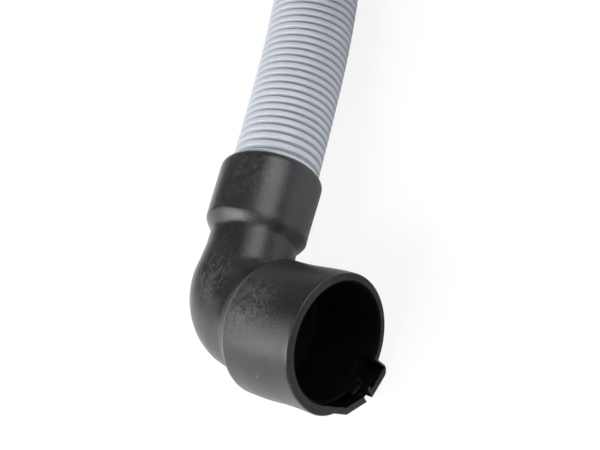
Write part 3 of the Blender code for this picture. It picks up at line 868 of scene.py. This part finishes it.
# Strength and form of each mark: smears on the bend, the socket and the collar, scratches along the
# socket, one pale speck, and over the whole skin a faint mottle and fine specks.
RUBBER_MARKS = (
    (0.9, {"Centre": (-0.0068, -0.0068, 0.0338), "Stretch": (1000.0, 420.0, 1000.0),
           "Reach": 0.0105, "Thin": 0.40, "Thick": 0.68, "Swirl": 1.2}),
    (0.95, {"Centre": (0.0140, -0.0105, 0.0390), "Stretch": (1000.0, 800.0, 1000.0),
            "Reach": 0.0115, "Thin": 0.34, "Thick": 0.68, "Swirl": 1.0}),
    (0.5, {"Centre": (-0.0106, 0.0248, 0.0305), "Stretch": (700.0, 600.0, 700.0),
           "Reach": 0.0120, "Thin": 0.34, "Thick": 0.72}),
    (0.9, {"Centre": (-0.0010, -0.0150, 0.0345), "Stretch": (1500.0, 90.0, 900.0),
           "Reach": 0.0080, "Thin": 0.60, "Thick": 0.68, "Swirl": 0.1}),
    (1.0, {"Centre": (0.01944, -0.02653, 0.0328), "Core": 0.0003,
           "Reach": 0.0006, "Thin": 0.0, "Thick": 0.1}),
    (0.22, {"Centre": (0.0, 0.0, 0.025), "Stretch": (800.0, 800.0, 800.0), "Core": 0.04,
            "Reach": 0.06, "Thin": 0.5, "Thick": 0.75}),
    (0.9, {"Centre": (0.0, 0.0, 0.025), "Stretch": (1100.0, 1100.0, 1100.0), "Core": 0.04,
           "Reach": 0.06, "Thin": 0.71, "Thick": 0.75, "Swirl": 0.0}),
)


def elbow_rubber(name="elbow rubber", marks=RUBBER_MARKS):
    """Black rubber with a satin sheen, uneven in tone and polish, with pale marks over it."""
    made, tree, new = nodes_of(name)
    link = tree.links.new
    shader = tree.nodes["Principled BSDF"]
    shader.inputs["IOR"].default_value = 1.5
    place, patches = handled(tree, new, 70.0, 0.6)
    tone = two_tones(tree, new, patches.outputs["Patches"], (0.008, 0.008, 0.009), (0.016, 0.016, 0.018))
    colour = tone.outputs[2]
    for strength, values in marks:
        mark = new("ShaderNodeGroup", node_tree=MARKS)
        for key, value in values.items():
            mark.inputs[key].default_value = value
        link(place.outputs["Object"], mark.inputs["Place"])
        share = new("ShaderNodeMath", operation="MULTIPLY")
        share.inputs[1].default_value = strength
        link(mark.outputs["Marks"], share.inputs[0])
        pale = new("ShaderNodeMix", data_type="RGBA")
        pale.inputs[7].default_value = (0.070, 0.066, 0.071, 1.0)
        link(share.outputs[0], pale.inputs["Factor"])
        link(colour, pale.inputs[6])
        colour = pale.outputs[2]
    link(colour, shader.inputs["Base Color"])
    rough = new("ShaderNodeMapRange")
    rough.inputs["To Min"].default_value = 0.29
    rough.inputs["To Max"].default_value = 0.39
    link(patches.outputs["Patches"], rough.inputs["Value"])
    link(rough.outputs["Result"], shader.inputs["Roughness"])
    relief(tree, new, patches, 0.2, 0.0003)
    return made


def rim_rubber():
    """The flat face round the mouth, which is duller than the skin and has only the mottle."""
    made = elbow_rubber("rim rubber", RUBBER_MARKS[-2:-1])
    made.node_tree.nodes["Principled BSDF"].inputs["Specular IOR Level"].default_value = 0.12
    return made


def shaded_inside_rubber():
    """The hollow's walls: the same rubber, dull, with painted shade, its colour far darker than the skin's.
    """
    made, tree, new = nodes_of("painted shade inside rubber")
    shader = tree.nodes["Principled BSDF"]
    shader.inputs["Roughness"].default_value = 0.7
    shader.inputs["Specular IOR Level"].default_value = 0.03
    patches = handled(tree, new, 90.0, 0.5)[1]
    # Painted shade: the walls' colour is near black, for the shadow inside the hollow.
    dark, pale = (0.0015, 0.0015, 0.0016), (0.0030, 0.0030, 0.0033)
    tone = two_tones(tree, new, patches.outputs["Patches"], dark, pale)
    tree.links.new(tone.outputs[2], shader.inputs["Base Color"])
    return made


elbow = add("rubber_moulding", elbow_mesh([elbow_rubber(), shaded_inside_rubber(), rim_rubber()]))
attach(elbow, "root")
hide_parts("rubber_elbow")


# End cuff: a plain moulded sleeve of black rubber on the hose's far end.
# The hose stands in one end, and a sink's spigot goes into the other, which has a bead round its mouth.
# It lies on the coil's top, along the last turn.
CUFF_WALL = 0.002
CUFF_SOCKET = 0.02
CUFF_STOP = 0.003
CUFF_BORE_R = 0.0103
CUFF_BORE_DEPTH = 0.023
CUFF_BEAD = 0.0012
CUFF_BEAD_LENGTH = 0.004
CUFF_EDGE = 0.0005


def cuff_mesh():
    """The cuff's section, with its corners rounded, turned once about the hose's line."""
    sleeve_r, spigot_r = HOSE_D / 2 + 0.0003, CUFF_BORE_R
    length = CUFF_SOCKET + CUFF_STOP + CUFF_BORE_DEPTH
    bead = spigot_r + CUFF_WALL + CUFF_BEAD
    corners = [
        (sleeve_r + CUFF_WALL, 0.0, 0.0008),
        (sleeve_r, 0.0, CUFF_EDGE),
        (sleeve_r, CUFF_SOCKET, 0.0),
        (PASSAGE_R, CUFF_SOCKET, CUFF_EDGE),
        (PASSAGE_R, CUFF_SOCKET + CUFF_STOP, CUFF_EDGE / 2),
        (spigot_r, CUFF_SOCKET + CUFF_STOP, 0.0),
        (spigot_r, length, CUFF_EDGE),
        (bead, length, 0.0007),
        (bead, length - CUFF_BEAD_LENGTH, 0.0007),
        (bead - CUFF_BEAD, length - CUFF_BEAD_LENGTH - CUFF_BEAD, 0.0012),
        (bead - CUFF_BEAD, CUFF_SOCKET + 0.004, 0.003),
        (sleeve_r + CUFF_WALL, CUFF_SOCKET, 0.003),
    ]
    outline = []
    for k, (radius, height, edge) in enumerate(corners):
        corner = Vector((radius, height))
        before, after = Vector(corners[k - 1][:2]), Vector(corners[(k + 1) % len(corners)][:2])
        outline += fillet(before, corner, after, edge, 4) if edge else [corner]
    mesh = bpy.data.meshes.new("spigot_cuff")
    edges = [(k, (k + 1) % len(outline)) for k in range(len(outline))]
    mesh.from_pydata([(p.x, 0.0, p.y) for p in outline], edges, [])
    made = add("cuff_profile", mesh)
    turned = made.modifiers.new("turn", "SCREW")
    turned.angle = 2 * math.pi
    turned.steps = 72
    turned.render_steps = 72
    turned.use_merge_vertices = True
    turned.merge_threshold = 0.00001
    mesh = applied(made)
    bpy.data.objects.remove(made, do_unlink=True)
    end, along = coil_exit()
    mesh.transform(Matrix.Translation(end) @ along.to_track_quat("Z", "X").to_matrix().to_4x4())
    smoothed(mended(mesh, 1e-6), 38)
    mesh.name = "spigot_cuff"
    return mesh


cuff_skin = cuff_mesh()
cuff_skin.materials.clear()
cuff_skin.materials.append(elbow_rubber("cuff rubber", ()))
cuff = add("spigot_cuff", cuff_skin)
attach(cuff, "root")
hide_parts("end_cuff")


# Coil ties: three black plastic straps, each closed round the turns, which keep the coil together.
# They are moulded, and their skin has a fine dull grain.
def tie_plastic():
    """Black plastic with a dull sheen and a fine grain."""
    made, tree, new = nodes_of("tie plastic")
    shader = tree.nodes["Principled BSDF"]
    shader.inputs["Roughness"].default_value = 0.5
    patches = handled(tree, new, 120.0, 0.5)[1]
    tone = two_tones(tree, new, patches.outputs["Patches"], (0.020, 0.020, 0.022), (0.032, 0.032, 0.034))
    tree.links.new(tone.outputs[2], shader.inputs["Base Color"])
    relief(tree, new, patches, 0.2, 0.0003)
    return made


strap = tie_plastic()
ties = [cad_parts[f"coil_tie_{number}"] for number in (1, 2, 3)]
for tie in ties:
    for holder in tie.material_slots:
        holder.material = strap

[tuple(p) for p in hose_path]


# Studio: a plain white floor that keeps a faint shadow, white all round, and soft lamps from above.
# None of it belongs to the part.
def studio_floor():
    """A white floor. The camera sees it nearly as bright as paper, and the part's shadow stays on it."""
    mesh = bpy.data.meshes.new("studio_floor")
    size = 3.0
    mesh.from_pydata(
        [(-size, -size, 0.0), (size, -size, 0.0), (size, size, 0.0), (-size, size, 0.0)],
        [],
        [(0, 1, 2, 3)],
    )
    made, tree, new = nodes_of("studio floor")
    link = tree.links.new
    shader = tree.nodes["Principled BSDF"]
    shader.inputs["Base Color"].default_value = (0.86, 0.86, 0.86, 1.0)
    shader.inputs["Roughness"].default_value = 0.9
    shader.inputs["Specular IOR Level"].default_value = 0.0
    rays = new("ShaderNodeLightPath")
    glow = new("ShaderNodeEmission", Color=(1.0, 1.0, 1.0, 1.0), Strength=1.0)
    seen = new("ShaderNodeMath", operation="MULTIPLY")
    seen.inputs[1].default_value = 0.86
    mix = new("ShaderNodeMixShader")
    link(rays.outputs["Is Camera Ray"], seen.inputs[0])
    link(seen.outputs[0], mix.inputs["Fac"])
    link(shader.outputs["BSDF"], mix.inputs[1])
    link(glow.outputs["Emission"], mix.inputs[2])
    link(mix.outputs["Shader"], tree.nodes["Material Output"].inputs["Surface"])
    mesh.materials.append(made)
    floor = add("studio_floor", mesh)


def studio_world():
    """A white background for the camera, and a much dimmer one as light."""
    world = bpy.data.worlds.new("studio")
    world.use_nodes = True
    tree = world.node_tree
    back = tree.nodes["Background"]
    back.inputs["Color"].default_value = (1.0, 1.0, 1.0, 1.0)
    rays = tree.nodes.new("ShaderNodeLightPath")
    level = tree.nodes.new("ShaderNodeMapRange")
    level.inputs["To Min"].default_value = 0.165
    level.inputs["To Max"].default_value = 1.0
    tree.links.new(rays.outputs["Is Camera Ray"], level.inputs["Value"])
    tree.links.new(level.outputs["Result"], back.inputs["Strength"])
    bpy.context.scene.world = world


def lamp(name, place, target, size, power):
    """A flat rectangular lamp that faces its target."""
    data = bpy.data.lights.new(name, "AREA")
    data.shape = "RECTANGLE"
    data.size, data.size_y = size
    data.energy = power
    made = bpy.data.objects.new(name, data)
    bpy.context.scene.collection.objects.link(made)
    place, target = Vector(place), Vector(target)
    turn = (target - place).to_track_quat("-Z", "Y").to_matrix().to_4x4()
    made.matrix_world = Matrix.Translation(place) @ turn


studio_floor()
studio_world()
lamp("front_softbox", (-0.26, -0.77, 0.92), (0.0, 0.0, 0.02), (1.3, 0.7), 15.5)
lamp("front_lamp", (-0.064, -0.736, 0.946), (0.0, 0.0, 0.02), (0.36, 0.3), 3.8)
lamp("front_card", (-0.93, -0.72, 0.30), (0.0, 0.0, 0.02), (1.2, 0.7), 3.9)
lamp("side_softbox", (-0.86, -0.16, 0.84), (0.0, 0.0, 0.02), (0.45, 0.5), 1.6)
lamp("back_softbox", (0.70, 0.84, 0.70), (0.0, 0.02, 0.02), (0.95, 0.8), 9.8)
lamp("right_softbox", (1.04, -0.10, 0.86), (0.0, 0.02, 0.02), (0.6, 0.5), 5.2)

bpy.context.scene.view_settings.view_transform = "Standard"
